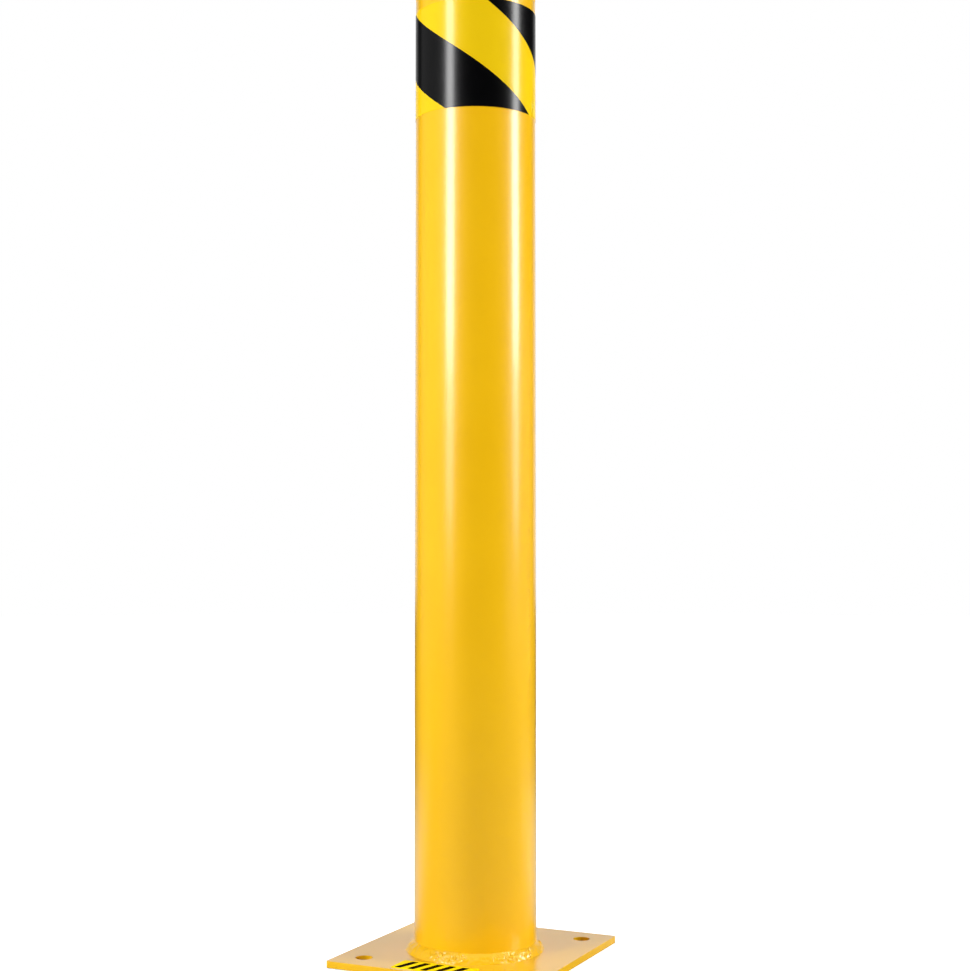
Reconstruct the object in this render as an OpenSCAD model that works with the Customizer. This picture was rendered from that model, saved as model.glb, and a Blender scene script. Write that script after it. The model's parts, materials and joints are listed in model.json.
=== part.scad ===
// Surface-mount safety bollard: a steel pipe fillet-welded to a square base plate,
// a hazard-striped reflective tape near its top and a domed cap plugged into its open end.
// Millimetres, +Z up, origin at the centre of the base plate's underside.

/* [Post] */
// Height from the floor to the crown of the cap
overall_h = 914.4; // [700:0.1:1300]
// Outside diameter of the pipe
pipe_od = 114.3; // [88.9:0.1:141.3]
// Wall thickness of the pipe
pipe_wall = 3; // [2:0.1:8]
// Chamfer that deburrs both edges of the pipe's top end
pipe_chamfer = 0.5; // [0.2:0.1:0.8]

/* [Base plate] */
// Side of the square base plate
plate_side = 203.2; // [190:0.1:320]
// Thickness of the base plate
plate_t = 6.35; // [4:0.05:16]
// Radius of the base plate's corners
plate_corner_r = 2; // [1:0.5:12]
// Diameter of each anchor hole
hole_d = 15.9; // [11:0.1:19]
// Distance from the plate's edge to each anchor hole's centre
hole_inset = 25.4; // [16:0.1:32]

/* [Weld] */
// Leg of the fillet weld, up the pipe and out on the plate
weld_leg = 7; // [4:0.1:9]
// Bulge of the weld's face beyond the straight line between its toes
weld_crown = 0.8; // [0.2:0.1:1.2]

/* [Reflective tape] */
// Width of the tape
tape_w = 101.6; // [50:0.1:150]
// Distance from the pipe's top end down to the tape
tape_drop = 12.7; // [5:0.1:60]
// Thickness of the yellow film and its adhesive
film_t = 0.25; // [0.15:0.05:0.5]
// Thickness of the black print on the film
print_t = 0.1; // [0.05:0.05:0.2]
// Black stripes round the pipe, each as wide as the yellow beside it
stripe_count = 2; // [1:1:6]
// Slope of the stripes from the horizontal, in degrees
stripe_slope = 35.5; // [25:0.5:60]
// Where the first stripe starts at the tape's lower edge, as an angle from +X
stripe_start = -93.8; // [-180:0.1:180]

/* [Cap] */
// Height of the domed crown above the cap's rim
cap_dome_h = 9.5; // [6:0.1:25]
// Thickness of the rim that seats on the pipe's end
cap_rim_t = 3.2; // [2:0.1:6]
// Moulded wall of the crown and of the plug
cap_wall = 2.2; // [1.6:0.1:3]
// Length of the plug inside the pipe
plug_len = 25.4; // [18:0.1:40]
// Height of each sealing rib above the plug's wall
rib_h = 1.5; // [1:0.1:2.5]
// Sealing ribs along the plug
rib_count = 3; // [2:1:4]
// Gap between the sealing ribs and the pipe's bore
cap_clear = 0.3; // [0.2:0.05:0.6]

/* [Plate label] */
// Width of the label along the plate's front edge
label_w = 76; // [50:1:90]
// Thickness of the label's vinyl
label_t = 0.2; // [0.1:0.05:0.4]
// Gap from the weld's toe to the label
label_gap = 4.5; // [2:0.5:8]
// Gap from the label to the plate's front edge
label_margin = 4; // [2:0.5:8]
// Black slanted bars printed across the label
bar_count = 5; // [3:1:8]

/* [Hidden] */
$fn = 128;
over = 0.5; // how far a cutting shape runs past the face it cuts
pipe_r = pipe_od / 2;
bore_r = pipe_r - pipe_wall;
pipe_top = overall_h - cap_dome_h - cap_rim_t;

film_r = pipe_r + film_t;
tape_top = pipe_top - tape_drop;
tape_low = tape_top - tape_w;
stripe_angle = 180 / stripe_count;
tape_twist = tape_w / tan(stripe_slope) / film_r * 180 / PI;
twist_step = 5; // degrees that the stripe cutter turns in one slice

hole_xy = plate_side / 2 - hole_inset;
weld_toe_r = pipe_r + weld_leg;

rib_r = bore_r - cap_clear;
plug_r = rib_r - rib_h;
plug_bore_r = plug_r - cap_wall;
rib_pitch = plug_len / (rib_count + 1);
rib_face = 0.5; // flat land at the tip of a sealing rib
dome_r = (pipe_r ^ 2 + cap_dome_h ^ 2) / (2 * cap_dome_h);
dome_centre = cap_rim_t + cap_dome_h - dome_r;

label_high = -(weld_toe_r + label_gap);
label_low = -(plate_side / 2 - label_margin);
label_h = label_high - label_low;
label_mid = (label_high + label_low) / 2;
label_corner_r = 3;
bar_border = 3; // plain yellow left round the bars
bar_pitch = (label_w - 2 * bar_border) / (bar_count + 0.5);
bar_w = bar_pitch / 2;
bar_lean = bar_pitch / 2; // how far a bar's top leans to the right of its foot
bar_h = label_h - 2 * bar_border;
bar_t = 0.1;

paint_yellow = [0.95, 0.70, 0.08];
film_yellow = [0.94, 0.80, 0.12];
cap_yellow = [0.93, 0.68, 0.08];
label_yellow = [1.0, 0.87, 0.02];
print_black = [0.05, 0.05, 0.05];

// A flat slab on z = 0 with true round corners
module rounded_slab(width, depth, thickness, radius) {
    translate([-width / 2 + radius, -depth / 2, 0])
        cube([width - 2 * radius, depth, thickness]);
    translate([-width / 2, -depth / 2 + radius, 0])
        cube([width, depth - 2 * radius, thickness]);
    for (x = [-1, 1], y = [-1, 1])
        translate([x * (width / 2 - radius), y * (depth / 2 - radius), 0])
            cylinder(r = radius, h = thickness);
}

// A round tube standing on z = 0
module ring(inner, outer, height) {
    difference() {
        cylinder(r = outer, h = height);
        translate([0, 0, -over])
            cylinder(r = inner, h = height + 2 * over);
    }
}

// Sheared plate with one anchor hole near each corner
module base_plate() {
    color(paint_yellow)
        difference() {
            rounded_slab(plate_side, plate_side, plate_t, plate_corner_r);
            for (x = [-1, 1], y = [-1, 1])
                translate([x * hole_xy, y * hole_xy, -over])
                    cylinder(d = hole_d, h = plate_t + 2 * over);
        }
}

// Pipe cut square, standing on the plate, its top end deburred inside and out
module post_pipe() {
    color(paint_yellow)
        rotate_extrude()
            polygon([
                [bore_r, plate_t],
                [pipe_r, plate_t],
                [pipe_r, pipe_top - pipe_chamfer],
                [pipe_r - pipe_chamfer, pipe_top],
                [bore_r + pipe_chamfer, pipe_top],
                [bore_r, pipe_top - pipe_chamfer]
            ]);
}

// Fillet weld all round the pipe's foot, slightly crowned
module fillet_weld() {
    bulge = weld_crown * cos(45);
    color(paint_yellow)
        translate([0, 0, plate_t])
            rotate_extrude()
                polygon([
                    [pipe_r, 0],
                    [weld_toe_r, 0],
                    [pipe_r + weld_leg / 2 + bulge, weld_leg / 2 + bulge],
                    [pipe_r, weld_leg]
                ]);
}

// Yellow retroreflective film wrapped once round the pipe
module tape_film() {
    color(film_yellow)
        translate([0, 0, tape_low])
            ring(pipe_r, film_r, tape_w);
}

// The outline that one stripe sweeps: a sector well inside and well outside the print
module stripe_sector() {
    facets = 3;
    inner = [for (i = [0:facets]) let (a = i * stripe_angle / facets)
        0.7 * film_r * [cos(a), sin(a)]];
    outer = [for (i = [facets:-1:0]) let (a = i * stripe_angle / facets)
        1.5 * film_r * [cos(a), sin(a)]];
    polygon(concat(inner, outer));
}

// Black bands printed on the film, turning down to the right round the pipe
module tape_stripes() {
    color(print_black)
        translate([0, 0, tape_low])
            for (i = [0:stripe_count - 1])
                intersection() {
                    ring(film_r, film_r + print_t, tape_w);
                    rotate([0, 0, stripe_start + i * 2 * stripe_angle])
                        linear_extrude(
                            height = tape_w,
                            twist = tape_twist,
                            slices = ceil(tape_twist / twist_step),
                            $fn = 8
                        )
                            stripe_sector();
                }
}

// Vinyl label stuck flat on the plate, between the weld and the front edge
module plate_label() {
    color(label_yellow)
        translate([0, label_mid, plate_t])
            rounded_slab(label_w, label_h, label_t, min(label_corner_r, label_h / 3));
}

// Plain slanted bars printed on the label
module label_bars() {
    first = -label_w / 2 + bar_border;
    color(print_black)
        translate([0, label_mid - bar_h / 2, plate_t + label_t])
            for (i = [0:bar_count - 1])
                translate([first + i * bar_pitch, 0, 0])
                    linear_extrude(bar_t)
                        polygon([
                            [0, 0],
                            [bar_w, 0],
                            [bar_w + bar_lean, bar_h],
                            [bar_lean, bar_h]
                        ]);
}

// One sealing rib: a ring that leans outwards like a fin, flat on its lower face
module sealing_rib() {
    root = plug_r - cap_wall / 2;
    rotate_extrude()
        polygon([
            [root, 0],
            [rib_r, rib_h],
            [rib_r, rib_h + rib_face],
            [root, rib_h + rib_face]
        ]);
}

// Moulded cap: domed crown, rim on the pipe's end and a ribbed hollow plug in the bore
module top_cap() {
    color(cap_yellow)
        translate([0, 0, pipe_top])
            difference() {
                union() {
                    cylinder(r = pipe_r, h = cap_rim_t);
                    intersection() {
                        translate([0, 0, dome_centre])
                            sphere(r = dome_r);
                        translate([0, 0, cap_rim_t])
                            cylinder(r = pipe_r + over, h = cap_dome_h + over);
                    }
                    translate([0, 0, -plug_len])
                        cylinder(r = plug_r, h = plug_len + cap_rim_t);
                    for (i = [1:rib_count])
                        translate([0, 0, -i * rib_pitch])
                            sealing_rib();
                }
                intersection() {
                    translate([0, 0, dome_centre])
                        sphere(r = dome_r - cap_wall);
                    translate([0, 0, -plug_len - over])
                        cylinder(r = plug_bore_r, h = plug_len + cap_rim_t + cap_dome_h);
                }
            }
}

base_plate();
post_pipe();
fillet_weld();
tape_film();
tape_stripes();
plate_label();
label_bars();
top_cap();
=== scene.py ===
"""Steel safety bollard: a powder-coated pipe welded to a bolt-down plate, with hazard tape and a cap."""

import json
from math import atan2, cos, degrees, exp, hypot, pi, radians, sin, tan

import bmesh
import bpy
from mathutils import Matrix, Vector, noise


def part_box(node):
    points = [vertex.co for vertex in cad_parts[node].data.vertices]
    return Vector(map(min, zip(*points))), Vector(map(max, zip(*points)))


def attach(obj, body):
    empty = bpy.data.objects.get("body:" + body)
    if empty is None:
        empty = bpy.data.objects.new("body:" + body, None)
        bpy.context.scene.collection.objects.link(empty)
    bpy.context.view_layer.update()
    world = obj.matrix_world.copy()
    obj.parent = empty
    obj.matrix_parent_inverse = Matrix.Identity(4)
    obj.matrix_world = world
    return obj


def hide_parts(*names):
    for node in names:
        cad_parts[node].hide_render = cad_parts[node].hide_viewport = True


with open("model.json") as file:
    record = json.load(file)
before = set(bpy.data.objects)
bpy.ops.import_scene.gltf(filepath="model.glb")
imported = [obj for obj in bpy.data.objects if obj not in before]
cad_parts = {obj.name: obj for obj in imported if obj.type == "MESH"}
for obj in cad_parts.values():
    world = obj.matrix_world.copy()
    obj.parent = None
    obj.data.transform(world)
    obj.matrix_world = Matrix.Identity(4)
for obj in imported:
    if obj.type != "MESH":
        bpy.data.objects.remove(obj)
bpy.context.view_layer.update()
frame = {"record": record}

# ---------------------------------------------------------------------------- base plate
# Quarter-inch hot-rolled plate, sheared square and punched near each corner for a floor anchor.
# It is powder coated together with the post and the weld, and the coat rounds every edge.
plate_low, plate_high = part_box("base_plate")
plate_side = plate_high[0] - plate_low[0]
plate_thick = plate_high[2]
plate_corner = 0.002  # radius of the sheared corners, after deburring
coat_edge = 0.0006  # radius that the coat leaves on an edge
anchors = next(m for m in frame["record"]["mounts"] if m["name"] == "anchor_holes")["dims"]
anchor_x = anchors["spacing_x_mm"] / 2000
anchor_y = anchors["spacing_y_mm"] / 2000
anchor_hole = anchors["hole_r_mm"] / 1000


def start(name):
    """Takes the primitive just added, with its place in its mesh, and names it."""
    piece = bpy.context.object
    piece.name = piece.data.name = name
    bpy.ops.object.transform_apply(location=True, rotation=True, scale=True)
    return piece


def pick(kind, test):
    """In edit mode, selects the vertices, edges or faces whose middle passes the test."""
    shape = bmesh.from_edit_mesh(bpy.context.object.data)
    bpy.ops.mesh.select_mode(type=kind)
    bpy.ops.mesh.select_all(action="DESELECT")
    for part in {"VERT": shape.verts, "EDGE": shape.edges, "FACE": shape.faces}[kind]:
        corners = [part.co] if kind == "VERT" else [corner.co for corner in part.verts]
        part.select_set(test(sum(corners, Vector()) / len(corners)))
    bmesh.update_edit_mesh(bpy.context.object.data)


def finish_with(piece, kind, **settings):
    """Adds a modifier with these settings and applies it."""
    bpy.ops.object.select_all(action="DESELECT")
    piece.select_set(True)
    bpy.context.view_layer.objects.active = piece
    modifier = piece.modifiers.new(kind.lower(), kind)
    for name, value in settings.items():
        setattr(modifier, name, value)
    bpy.ops.object.modifier_apply(modifier=modifier.name)


def fit(piece, surface, body, node, smooth=30):
    """Shades a finished piece, gives it its surface and puts it in the place of its CAD node."""
    bpy.ops.object.select_all(action="DESELECT")
    piece.select_set(True)
    bpy.context.view_layer.objects.active = piece
    bpy.ops.object.shade_smooth_by_angle(angle=radians(smooth))
    piece.data.materials.clear()
    piece.data.materials.append(surface)
    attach(piece, body)
    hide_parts(node)


class Shade:
    """A shader socket whose sums, differences and products add Math nodes."""

    def __init__(self, tree, socket=None):
        self.tree = tree
        self.socket = socket

    def add(self, kind, settings=None, inputs=None, output=0):
        """Adds a node: its settings first, then the values or links of its sockets."""
        node = self.tree.nodes.new("ShaderNode" + kind)
        for name, value in (settings or {}).items():
            setattr(node, name, value)
        for name, value in (inputs or {}).items():
            if isinstance(value, Shade):
                self.tree.links.new(value.socket, node.inputs[name])
            else:
                node.inputs[name].default_value = value
        return Shade(self.tree, node.outputs[output])

    def math(self, operation, first, second):
        return self.add("Math", {"operation": operation}, {0: first, 1: second})

    def __add__(self, other):
        return self.math("ADD", self, other)

    def __radd__(self, other):
        return self.math("ADD", other, self)

    def __sub__(self, other):
        return self.math("SUBTRACT", self, other)

    def __rsub__(self, other):
        return self.math("SUBTRACT", other, self)

    def __mul__(self, other):
        return self.math("MULTIPLY", self, other)

    def __pow__(self, other):
        return self.math("POWER", self, other)

    def place(self):
        """The point being shaded, in metres from the middle of the plate's underside."""
        return self.add("TexCoord", output="Object")

    def axes(self):
        """That point's x, y and z."""
        split = self.add("SeparateXYZ", inputs={"Vector": self.place()})
        outputs = split.socket.node.outputs
        return [Shade(self.tree, outputs[axis]) for axis in "XYZ"]

    def grain(self, per_metre, detail=2.0, stretch=(1, 1, 1)):
        """Noise between 0 and 1 with this many grains in a metre."""
        spread = self.add("Mapping", inputs={"Vector": self.place(), "Scale": stretch})
        return self.add("TexNoise", inputs={"Vector": spread, "Scale": per_metre, "Detail": detail})

    def step(self, low, high):
        """Rises from 0 to 1 as this value goes from low to high."""
        settings = {"interpolation_type": "SMOOTHSTEP"}
        inputs = {"Value": self, "From Min": low, "From Max": high}
        return self.add("MapRange", settings, inputs)

    def mix(self, first, second):
        """The first colour where this mask is 0 and the second where it is 1."""
        mixed = self.add("Mix", {"data_type": "RGBA"})
        node = mixed.socket.node
        for socket, value in ((node.inputs[0], self), (node.inputs[6], first), (node.inputs[7], second)):
            if isinstance(value, Shade):
                self.tree.links.new(value.socket, socket)
            else:
                socket.default_value = (*value, 1)
        return Shade(self.tree, node.outputs[2])

    def bump(self, depth):
        """This height, from 0 to 1, as a relief of that depth in metres."""
        return self.add("Bump", inputs={"Height": self, "Distance": depth, "Strength": 1.0})


def material(name):
    """A new material's sheet and its finish, a Principled shader joined to the output."""
    made = bpy.data.materials.new(name)
    made.use_nodes = True
    finish = made.node_tree.nodes["Principled BSDF"]
    return made, Shade(made.node_tree), finish


def wire(sheet, finish, **sockets):
    """Sets or links the finish's sockets, whose names are written with _ for a space."""
    for name, value in sockets.items():
        socket = finish.inputs[name.replace("_", " ")]
        if isinstance(value, Shade):
            sheet.tree.links.new(value.socket, socket)
        else:
            socket.default_value = value


def powder_coat(name, bare=None):
    """Gloss yellow powder coat; bare gives a mask of where mill steel shows instead."""
    made, sheet, finish = material(name)
    patch = sheet.grain(9, 3).step(0.3, 0.7)
    colour = patch.mix((0.815, 0.452, 0.0035), (0.845, 0.476, 0.0048))
    speck = sheet.grain(2600, 1).step(0.72, 0.80) * 0.25
    colour = speck.mix(colour, (0.74, 0.39, 0.003))
    rough = 0.28 + sheet.grain(40, 3) * 0.06
    peel = sheet.grain(420, 2) * 0.7 + sheet.grain(1500, 1) * 0.3
    metal = 0.0
    if bare:
        steel = bare(sheet)
        scale = sheet.grain(35, 3).step(0.2, 0.8)
        mill = scale.mix((0.19, 0.18, 0.17), (0.26, 0.24, 0.22))
        rust = sheet.grain(24, 4).step(0.55, 0.80) * 0.35
        mill = rust.mix(mill, (0.24, 0.12, 0.06))
        colour = steel.mix(colour, mill)
        metal = steel * (0.75 - rust * 0.6)
        rough = rough + steel * 0.22
        peel = peel + steel * sheet.grain(900, 3) * 0.5
    wire(sheet, finish, Base_Color=colour, Roughness=rough, Metallic=metal)
    wire(sheet, finish, Normal=peel.bump(0.000018), IOR=1.5, Coat_Weight=1.0, Coat_Roughness=0.20)
    return made


bpy.ops.object.select_all(action="DESELECT")
bpy.ops.mesh.primitive_cube_add(size=1, location=(0, 0, plate_thick / 2))
bpy.context.object.scale = (plate_side, plate_side, plate_thick)
base_plate = start("steel_base_plate")
bpy.ops.object.mode_set(mode="EDIT")
pick("EDGE", lambda middle: abs(middle.z - plate_thick / 2) < plate_thick / 4)
bpy.ops.mesh.bevel(offset=plate_corner, segments=12)
bpy.ops.object.mode_set(mode="OBJECT")
for x in (-anchor_x, anchor_x):
    for y in (-anchor_y, anchor_y):
        bpy.ops.mesh.primitive_cylinder_add(
            vertices=72, radius=anchor_hole, depth=3 * plate_thick, location=(x, y, 0)
        )
        punch = start("punch")
        finish_with(base_plate, "BOOLEAN", object=punch, operation="DIFFERENCE", solver="EXACT")
        bpy.data.objects.remove(punch)
finish_with(base_plate, "BEVEL", width=coat_edge, segments=4, limit_method="ANGLE", angle_limit=radians(40))


def plate_bare(sheet):
    """The underside lies on the rack while the coat is sprayed, so it stays mostly mill steel."""
    height = sheet.axes()[2]
    under = 1 - height.step(0.0001, 0.0004)
    return under * (sheet.grain(18, 3).step(0.2, 0.8) * 0.4 + 0.5)


fit(base_plate, powder_coat("plate_coat", plate_bare), "post", "base_plate", smooth=9)

# ------------------------------------------------------------------------------ post pipe
# Electric-welded steel pipe, cut square and open at its top, with both edges deburred. The coat
# reaches a little way down the bore, and below that the inside is bare mill steel.
pipe_low, pipe_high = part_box("post_pipe")
pipe_foot, pipe_top = pipe_low[2], pipe_high[2]
pipe_radius = pipe_high[0]
pipe_wall = 0.003
bore_radius = pipe_radius - pipe_wall
burr_edge = 0.0005  # radius that deburring leaves on both ends' edges

bpy.ops.object.select_all(action="DESELECT")
bpy.ops.mesh.primitive_cylinder_add(
    vertices=256,
    radius=pipe_radius,
    depth=pipe_top - pipe_foot,
    end_fill_type="NOTHING",
    location=(0, 0, (pipe_top + pipe_foot) / 2),
)
post_pipe = start("steel_post_pipe")
finish_with(post_pipe, "SOLIDIFY", thickness=pipe_wall, offset=-1, use_even_offset=True)
finish_with(post_pipe, "BEVEL", width=burr_edge, segments=4, limit_method="ANGLE", angle_limit=radians(40))


def pipe_bare(sheet):
    """Inside the pipe, past the reach of the spray gun."""
    x, y, z = sheet.axes()
    inside = 1 - ((x * x + y * y) ** 0.5).step(bore_radius + 0.0002, bore_radius + 0.0006)
    reach = pipe_top - 0.045 + sheet.grain(16, 2) * 0.02
    return inside * (1 - (z - reach).step(-0.045, 0.010))


fit(post_pipe, powder_coat("pipe_coat", pipe_bare), "post", "post_pipe", smooth=35)

# ------------------------------------------------------------------------------- weld bead
# One fillet laid by hand round the pipe's foot and left as welded under the coat: fine ripples,
# a toe that wanders, and a lump wherever the welder stopped and struck again.
weld_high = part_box("fillet_weld")[1]
weld_leg = weld_high[0] - pipe_radius
ripple_pitch = 0.0026
ripple_height = 0.00016
root_depth = 0.0004  # how far the bead sinks into the pipe and the plate
restarts = {-96: 1.0, -80: 1.2, -33: 1.3, -12: 1.2, 24: 1.0, 96: 1.0, 168: 1.2}  # angle: lump in mm
heavy_side = radians(-118)  # where the bead is widest, by the welder's start


def turned(name, outline, steps):
    """Draws a closed outline of (radius, height) points and spins it once round the upright axis."""
    bpy.ops.object.select_all(action="DESELECT")
    bpy.ops.mesh.primitive_plane_add(size=1)
    piece = start(name)
    bpy.ops.object.mode_set(mode="EDIT")
    bpy.ops.mesh.select_mode(type="VERT")
    bpy.ops.mesh.select_all(action="SELECT")
    bpy.ops.mesh.merge(type="CENTER")
    bpy.ops.transform.translate(value=(outline[0][0], 0, outline[0][1]))
    for (near, below), (far, above) in zip(outline, outline[1:] + outline[:1]):
        bpy.ops.mesh.extrude_region_move(
            TRANSFORM_OT_translate={"value": (far - near, 0, above - below)}
        )
    bpy.ops.mesh.select_all(action="SELECT")
    bpy.ops.mesh.remove_doubles(threshold=1e-6)
    bpy.ops.mesh.spin(steps=steps, angle=2 * pi, center=(0, 0, 0), axis=(0, 0, 1))
    bpy.ops.mesh.select_all(action="SELECT")
    bpy.ops.mesh.remove_doubles(threshold=1e-6)
    bpy.ops.mesh.normals_make_consistent(inside=False)
    bpy.ops.object.mode_set(mode="OBJECT")
    return piece


def bead_reach(turn, lean):
    """How far the bead's face stands from its root: turn is round the pipe, lean is 0 at the plate."""
    middle = sin(2 * lean)  # 1 halfway up the face, 0 at both toes
    wander = 1 + 0.08 * noise.noise(Vector((3 * cos(turn), 3 * sin(turn), 1.5)))
    wander += 0.06 * noise.noise(Vector((13 * cos(turn), 13 * sin(turn), 2 * lean)))
    wander += 0.22 * exp(4 * (cos(turn - heavy_side) - 1))
    # a ripple trails behind in the middle of the bead and leads at its toes
    along = turn * (pipe_radius + weld_leg / 2) / ripple_pitch - 1.1 * middle
    along += 0.8 * noise.noise(Vector((9 * cos(turn), 9 * sin(turn), 4.0)))
    ripple = ripple_height * (abs(sin(pi * along)) - 0.6) * middle**0.5
    lump = sum(
        height * exp(-(((degrees(turn) - angle + 180) % 360 - 180) / 6.0) ** 2)
        for angle, height in restarts.items()
    )
    spatter = noise.noise(Vector((19 * cos(turn), 19 * sin(turn), 2.2 * lean)))
    spatter += 0.35 * noise.noise(Vector((44 * cos(turn), 44 * sin(turn), 6 * lean)))
    crown = 0.0006 + 0.001 * lump * (0.3 + 1.6 * spatter) + 0.00020 * spatter
    taller = 1 + 0.14 * sin(lean) ** 2  # the bead climbs the pipe a little further than it runs out
    return weld_leg / (cos(lean) + sin(lean)) * wander * taller + crown * middle**0.7 + ripple


face_steps = 26
weld_outline = [
    (pipe_radius + weld_leg, plate_thick - root_depth),
    *(
        (pipe_radius + weld_leg * cos(lean), plate_thick + weld_leg * sin(lean))
        for lean in (radians(90 * count / face_steps) for count in range(face_steps + 1))
    ),
    (pipe_radius - root_depth, plate_thick + weld_leg),
    (pipe_radius - root_depth, plate_thick - root_depth),
]
weld_bead = turned("fillet_weld_bead", weld_outline, 960)
for point in weld_bead.data.vertices:
    turn = atan2(point.co.y, point.co.x)
    out = hypot(point.co.x, point.co.y) - pipe_radius
    up = point.co.z - plate_thick
    if min(out, up) > -root_depth / 2:
        lean = min(max(atan2(up, out), 0.001), pi / 2 - 0.001)
        reach = bead_reach(turn, lean)
        radius = pipe_radius + reach * cos(lean)
        point.co = (radius * cos(turn), radius * sin(turn), plate_thick + reach * sin(lean))
fit(weld_bead, powder_coat("weld_coat"), "post", "fillet_weld", smooth=60)

# --------------------------------------------------------------------------- hazard tape film
# Reflective yellow sheeting, four inches wide, wound once round the pipe from the back. Its end
# laps its start by a finger's width and steps up over it.
film_low, film_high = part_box("tape_film")
film_thick = film_high[0] - pipe_radius
tape_foot, tape_top = film_low[2], film_high[2]
tape_width = tape_top - tape_foot
tape_start = radians(115)  # where the winding begins, at the back
tape_lap = 0.014
tape_round = 2 * pi * (pipe_radius + film_thick)
tape_climb = 0.005  # the length over which the tape rises onto its own start
tape_grid = 0.0015


def wind(piece):
    """Wraps a flat piece, drawn as along, across and above the tape, round the pipe."""
    for point in piece.data.vertices:
        turn = tape_start + 2 * pi * point.co.x / tape_round
        rise = min(max((point.co.x - tape_round + tape_climb) / tape_climb, 0), 1)
        radius = pipe_radius + film_thick * rise + point.co.z
        point.co = (radius * cos(turn), radius * sin(turn), tape_foot + point.co.y)


bpy.ops.object.select_all(action="DESELECT")
strip_length = tape_round + tape_lap
bpy.ops.mesh.primitive_grid_add(
    x_subdivisions=round(strip_length / tape_grid),
    y_subdivisions=12,
    size=1,
    location=(strip_length / 2, tape_width / 2, 0),
)
bpy.context.object.scale = (strip_length, tape_width, 1)
tape_film = start("reflective_tape_film")
finish_with(tape_film, "SOLIDIFY", thickness=film_thick, offset=1)
wind(tape_film)
scuff = (0.0571, 0.0056, tape_foot + 0.0095)  # where something has rubbed the sheeting


def sheeting():
    """Yellow sheeting under a clear gloss face, with glass beads just showing in it."""
    made, sheet, finish = material("reflective_yellow_sheeting")
    beads = sheet.grain(5200, 1).step(0.45, 0.75) * 0.35
    colour = beads.mix((0.775, 0.512, 0.0048), (0.82, 0.57, 0.0080))
    x, y, z = sheet.axes()
    across, along, up = x - scuff[0], y - scuff[1], (z - scuff[2]) * 0.5
    near = 1 - ((across * across + along * along + up * up) ** 0.5).step(0.001, 0.005)
    streak = sheet.grain(420, 3, (1, 1, 0.35)).step(0.42, 0.60) * near * 0.6
    colour = streak.mix(colour, (0.42, 0.36, 0.03))
    rough = 0.21 + sheet.grain(60, 3) * 0.04 + streak * 0.2
    wire(sheet, finish, Base_Color=colour, Roughness=rough, IOR=1.5)
    wire(sheet, finish, Normal=sheet.grain(300, 2).bump(0.000006))
    return made


fit(tape_film, sheeting(), "post", "tape_film")

# ------------------------------------------------------------------------------- tape stripes
# Gloss black ink printed on the sheeting in broad slanted bands, as wide as the yellow between
# them. They fall to the right, and the tape's edges and ends cut them off.
ink_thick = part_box("tape_stripes")[1][0] - film_high[0]
band_slope = radians(35.5)
band_pitch = tape_round / 2
band_width = band_pitch / 2
band_lean = tape_width / tan(band_slope)
band_start = radians(-93.8)  # where a band meets the tape's lower edge, from the +X side

first_band = (band_start - tape_start) % pi / pi * band_pitch
bands = []
for count in range(-1, 4):
    left = first_band + count * band_pitch
    bpy.ops.object.select_all(action="DESELECT")
    bpy.ops.mesh.primitive_grid_add(
        x_subdivisions=round(band_width / tape_grid), y_subdivisions=70, size=1
    )
    bpy.context.object.scale = (band_width, tape_width, 1)
    bpy.context.object.location = (left + band_width / 2, tape_width / 2, film_thick)
    band = start("printed_band")
    for point in band.data.vertices:
        point.co.x -= band_lean * point.co.y / tape_width
    bpy.ops.object.mode_set(mode="EDIT")
    for edge, side in ((0, -1), (strip_length, 1)):
        bpy.ops.mesh.select_all(action="SELECT")
        bpy.ops.mesh.bisect(plane_co=(edge, 0, 0), plane_no=(side, 0, 0), clear_outer=True)
    bpy.ops.object.mode_set(mode="OBJECT")
    if band.data.polygons:
        bands.append(band)
    else:
        bpy.data.objects.remove(band)
bpy.ops.object.select_all(action="DESELECT")
for band in bands:
    band.select_set(True)
bpy.context.view_layer.objects.active = bands[0]
bpy.ops.object.join()
tape_stripes = bands[0]
tape_stripes.name = tape_stripes.data.name = "printed_black_stripes"
finish_with(tape_stripes, "SOLIDIFY", thickness=ink_thick, offset=1)
wind(tape_stripes)


def ink(name, rough, gloss=0.5):
    """Screen-printed black; gloss is 0.5 for an ordinary varnish and less for a matt one."""
    made, sheet, finish = material(name)
    tone = sheet.grain(90, 3).mix((0.0008, 0.0008, 0.0010), (0.0020, 0.0020, 0.0024))
    rough = rough + sheet.grain(60, 3) * 0.04
    wire(sheet, finish, Base_Color=tone, Roughness=rough, IOR=1.5, Specular_IOR_Level=gloss)
    wire(sheet, finish, Normal=sheet.grain(300, 2).bump(0.000006))
    return made


fit(tape_stripes, ink("stripe_ink", 0.21), "post", "tape_stripes")

# -------------------------------------------------------------------------------- plate label
# A die-cut vinyl label stuck flat on the plate, between the weld and the front edge.
label_low, label_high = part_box("plate_label")
label_thick = label_high[2] - label_low[2]
label_corner = 0.003
label_edge = 0.00006  # the die rolls the vinyl's edge over by this much

bpy.ops.object.select_all(action="DESELECT")
bpy.ops.mesh.primitive_plane_add(size=1)
bpy.context.object.scale = (label_high[0] - label_low[0], label_high[1] - label_low[1], 1)
bpy.context.object.location = (0, (label_high[1] + label_low[1]) / 2, label_low[2])
plate_label = start("vinyl_plate_label")
bpy.ops.object.mode_set(mode="EDIT")
bpy.ops.mesh.select_all(action="SELECT")
bpy.ops.mesh.bevel(offset=label_corner, segments=8, affect="VERTICES")
bpy.ops.object.mode_set(mode="OBJECT")
finish_with(plate_label, "SOLIDIFY", thickness=label_thick, offset=1)
finish_with(plate_label, "BEVEL", width=label_edge, segments=2, limit_method="ANGLE", angle_limit=radians(40))


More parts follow.
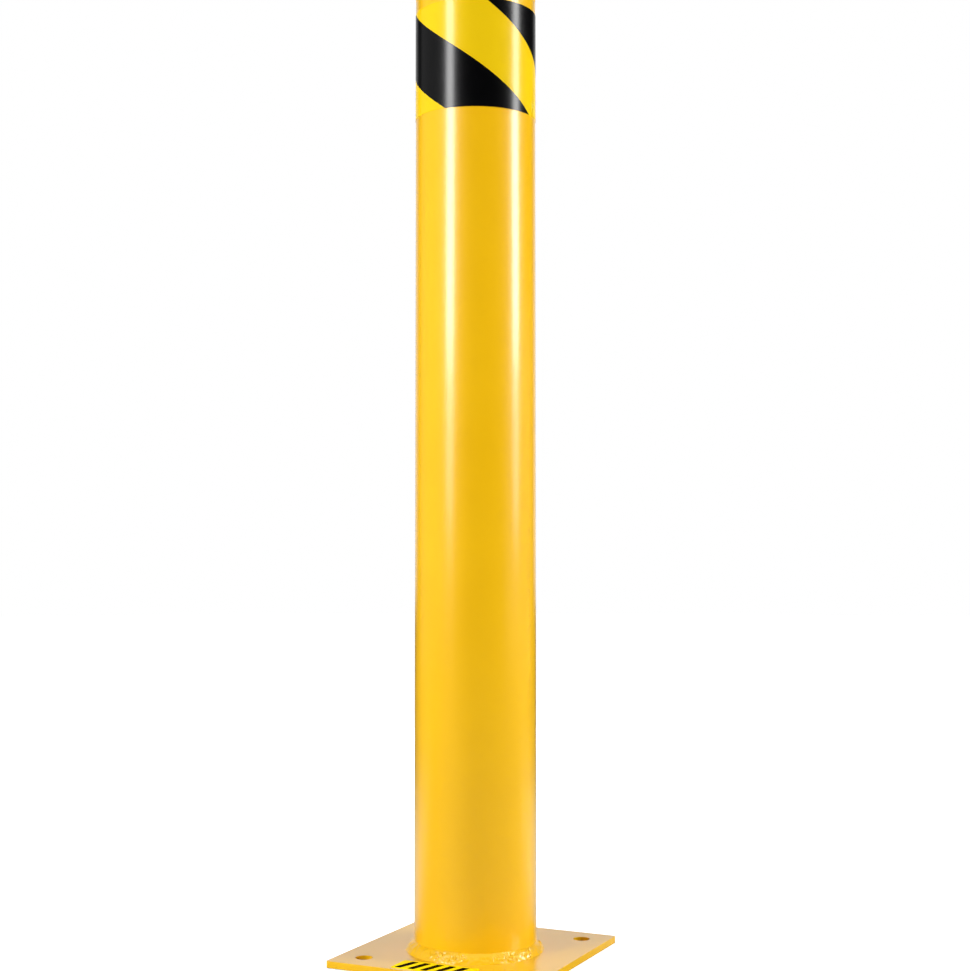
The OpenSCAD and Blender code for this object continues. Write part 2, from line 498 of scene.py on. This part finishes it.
def vinyl():
    """Canary vinyl with a matt face."""
    made, sheet, finish = material("canary_vinyl")
    colour = sheet.grain(120, 3).mix((0.95, 0.69, 0.0035), (1.0, 0.74, 0.006))
    rough = 0.45 + sheet.grain(80, 2) * 0.06
    wire(sheet, finish, Base_Color=colour, Roughness=rough, IOR=1.5, Specular_IOR_Level=0.003)
    wire(sheet, finish, Normal=sheet.grain(250, 2).bump(0.00001))
    return made


fit(plate_label, vinyl(), "post", "plate_label")

# --------------------------------------------------------------------------------- label bars
# Plain slanted bars in black ink across the label.
bars_low, bars_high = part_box("label_bars")
bar_count = 5
bar_pitch = (bars_high[0] - bars_low[0]) / bar_count
bar_width = bar_lean = bar_pitch / 2
bar_height = bars_high[1] - bars_low[1]
bar_thick = bars_high[2] - bars_low[2]
bar_corner = 0.0005

bars = []
for count in range(bar_count):
    bpy.ops.object.select_all(action="DESELECT")
    bpy.ops.mesh.primitive_plane_add(size=1)
    bpy.context.object.scale = (bar_width, bar_height, 1)
    bpy.context.object.location = (
        bars_low[0] + count * bar_pitch + bar_width / 2,
        (bars_low[1] + bars_high[1]) / 2,
        bars_low[2],
    )
    bar = start("printed_bar")
    for point in bar.data.vertices:
        point.co.x += bar_lean * (point.co.y - bars_low[1]) / bar_height
    bpy.ops.object.mode_set(mode="EDIT")
    bpy.ops.mesh.select_all(action="SELECT")
    bpy.ops.mesh.bevel(offset=bar_corner, segments=3, affect="VERTICES")
    bpy.ops.object.mode_set(mode="OBJECT")
    bars.append(bar)
for bar in bars:
    bar.select_set(True)
bpy.context.view_layer.objects.active = bars[0]
bpy.ops.object.join()
label_bars = bars[0]
label_bars.name = label_bars.data.name = "printed_label_bars"
finish_with(label_bars, "SOLIDIFY", thickness=bar_thick, offset=1)
fit(label_bars, ink("label_ink", 0.45, gloss=0.003), "post", "label_bars")

# ------------------------------------------------------------------------------------ top cap
# A push-in cap moulded in one piece from yellow polyethylene: a domed crown, a rim that sits on
# the pipe's end, and a hollow plug whose three soft ribs grip the bore. It pulls straight up.
cap_low, cap_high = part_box("top_cap")
cap_radius = cap_high[0]
cap_foot, cap_crown = cap_low[2], cap_high[2]
cap_wall = 0.0022
cap_edge = 0.0004  # radius on every moulded edge
rim_thick = 0.0032
rim_top = pipe_top + rim_thick
rib_count = 3
rib_clear = 0.0003  # gap between a rib's tip and the bore
rib_depth = 0.0015
rib_root = 0.0004  # how far up from its foot a rib starts to lean out
rib_land = 0.0005  # flat at a rib's tip
rib_tip = bore_radius - rib_clear
plug_radius = rib_tip - rib_depth
rib_gap = (pipe_top - cap_foot) / (rib_count + 1)
dome_radius = (cap_radius**2 + (cap_crown - rim_top) ** 2) / (2 * (cap_crown - rim_top))
dome_steps = 14

outline = [(plug_radius - cap_wall, cap_foot), (plug_radius, cap_foot)]
for rib in range(rib_count, 0, -1):
    foot = pipe_top - rib * rib_gap
    outline += [
        (plug_radius, foot + rib_root),
        (rib_tip, foot + rib_depth),
        (rib_tip, foot + rib_depth + rib_land),
        (plug_radius, foot + rib_depth + rib_land),
    ]
outline += [(plug_radius, pipe_top), (cap_radius, pipe_top), (cap_radius, rim_top)]
for share in range(1, dome_steps + 1):
    radius = cap_radius * (1 - share / dome_steps)
    outline.append((radius, cap_crown - dome_radius + (dome_radius**2 - radius**2) ** 0.5))
inner = dome_radius - cap_wall
for share in range(dome_steps + 1):
    radius = (plug_radius - cap_wall) * share / dome_steps
    outline.append((radius, cap_crown - dome_radius + (inner**2 - radius**2) ** 0.5))

top_cap = turned("domed_top_cap", outline, 160)
finish_with(top_cap, "BEVEL", width=cap_edge, segments=3, limit_method="ANGLE", angle_limit=radians(35))
finish_with(top_cap, "WELD", merge_threshold=2e-6)  # the bevels meet across a rib's narrow land


def polyethylene():
    """Satin moulded plastic with a fine spark-eroded texture and a little flow mark."""
    made, sheet, finish = material("cap_polyethylene")
    flow = sheet.grain(14, 4).step(0.3, 0.7)
    colour = flow.mix((0.80, 0.42, 0.012), (0.85, 0.47, 0.017))
    rough = 0.46 + sheet.grain(50, 3) * 0.08
    texture = sheet.grain(2400, 2) * 0.8 + sheet.grain(500, 2) * 0.2
    wire(sheet, finish, Base_Color=colour, Roughness=rough, IOR=1.5)
    wire(sheet, finish, Normal=texture.bump(0.00003))
    return made


fit(top_cap, polyethylene(), "cap", "top_cap", smooth=32)

# ----------------------------------------------------------------------------- floor and light
# A pale studio floor. To the rays that bounce off it, it carries a painted pool of light round the post,
# and painted shade on its side towards the camera that shows only in the gloss. A tall softbox on each
# side, brighter above than below, draws the two streaks on the pipe, and wide fill lamps that the gloss
# doesn't mirror light the rest evenly.
view_azimuth = radians(25.64)
toward_camera = Vector((sin(view_azimuth), -cos(view_azimuth), 0))
to_the_right = Vector((cos(view_azimuth), sin(view_azimuth), 0))

bpy.ops.object.select_all(action="DESELECT")
bpy.ops.mesh.primitive_circle_add(vertices=96, radius=9, fill_type="NGON", location=(0, 0, -0.0004))
floor = start("studio_floor")
made, sheet, finish = material("pale_floor")
x, y = sheet.axes()[:2]
away = (x * x + y * y) ** 0.5
# painted pool of light: to the rays that bounce off it, the floor is pale round the post and nearly black far
# off
painted_light_pool = away.step(0.35, 1.3).mix((0.55, 0.55, 0.55), (0.06, 0.06, 0.06))
# painted shade: on the side towards the camera, gloss rays see the floor dark
painted_front_shade = (x * toward_camera.x + y * toward_camera.y).step(-0.15, 0.06)
unlit = sheet.add("LightPath", output="Is Glossy Ray") * painted_front_shade * 0.95
seen = sheet.add("LightPath", output="Is Camera Ray")
tone = seen.mix(unlit.mix(painted_light_pool, (0, 0, 0)), (0.80, 0.80, 0.80))
glow = seen.mix((0, 0, 0), away.step(0.3, 1.5).mix((0.62, 0.62, 0.62), (1, 1, 1)))
wire(sheet, finish, Base_Color=tone, Roughness=0.7, Emission_Color=glow, Emission_Strength=1.0)
floor.data.materials.append(made)


def softbox(name, turn, away, low, high, width, brightness, mirrored=True):
    """An upright lit panel that faces the post, turned this many degrees round it from the camera."""
    side = toward_camera * cos(radians(turn)) + to_the_right * sin(radians(turn))
    bpy.ops.object.light_add(type="AREA", location=side * away + Vector((0, 0, (low + high) / 2)))
    lamp = bpy.context.object
    lamp.name = name
    lamp.data.shape = "RECTANGLE"
    lamp.data.size, lamp.data.size_y = width, high - low
    lamp.data.energy = brightness * width * (high - low) * pi
    lamp.rotation_euler = (-side).to_track_quat("-Z", "Y").to_euler()
    lamp.visible_camera = False
    lamp.visible_glossy = mirrored
    # a lamp that gloss rays can still find by chance leaves a haze on the coat
    lamp.data.cycles.use_multiple_importance_sampling = mirrored


softbox("left_softbox", -49, 1.6, 0.80, 2.4, 0.40, 13.2)
softbox("left_softbox_skirt", -49, 1.6, 0.40, 0.80, 0.40, 3.2)
softbox("right_softbox", 81.5, 1.6, 0.80, 2.4, 0.40, 11.8)
softbox("right_softbox_skirt", 81.5, 1.6, 0.40, 0.80, 0.40, 3.0)
softbox("left_reflector", -83, 2.0, 0.0, 2.4, 3.7, 0.22)
softbox("right_reflector", 92, 2.0, 0.0, 1.0, 2.8, 0.22)
softbox("left_fill", -75, 2.0, 0.0, 1.6, 1.2, 2.8, mirrored=False)
softbox("right_fill", 90, 2.0, 0.0, 1.6, 1.2, 3.6, mirrored=False)
softbox("left_floor_fill", -60, 1.3, 0.0, 0.5, 1.6, 3.0, mirrored=False)
softbox("right_floor_fill", 60, 1.3, 0.0, 0.5, 1.6, 3.3, mirrored=False)
softbox("back_fill", 180, 2.0, 0.0, 1.6, 1.2, 2.6, mirrored=False)

bpy.ops.object.light_add(type="AREA", location=(0, 0, 2.6))
overhead = bpy.context.object
overhead.name = "overhead_fill"
overhead.data.size = 2.4
overhead.data.energy = 9
overhead.visible_camera = False

# white to the camera all round, but only a patch behind the post lights it
world = bpy.data.worlds.new("studio")
bpy.context.scene.world = world
world.use_nodes = True
sky = Shade(world.node_tree)
backdrop = world.node_tree.nodes["Background"]
direction = sky.add("TexCoord", output="Generated")
facing = sky.add(
    "VectorMath", {"operation": "DOT_PRODUCT"}, {0: direction, 1: toward_camera}, output="Value"
)
behind = facing.step(-0.93, -0.74).mix((0.68, 0.68, 0.68), (0, 0, 0))
glow = sky.add("LightPath", output="Is Camera Ray").mix(behind, (1.0, 1.0, 1.0))
sky.tree.links.new(glow.socket, backdrop.inputs["Color"])

# --------------------------------------------------------------------------------------- camera
# Low and level with the middle of the post, so that its top end runs out of the picture.
camera_away, camera_height = 1.5314, 0.3723
aim_right, aim_height = 0.0090, 0.4397
bpy.ops.object.camera_add(location=toward_camera * camera_away + Vector((0, 0, camera_height)))
camera = bpy.context.object
camera.name = "view"
camera.data.lens = 59.95
camera.data.sensor_width = 36
aim = to_the_right * aim_right + Vector((0, 0, aim_height)) - camera.location
camera.rotation_euler = aim.to_track_quat("-Z", "Y").to_euler()
bpy.context.scene.camera = camera
bpy.context.scene.view_settings.view_transform = "Standard"
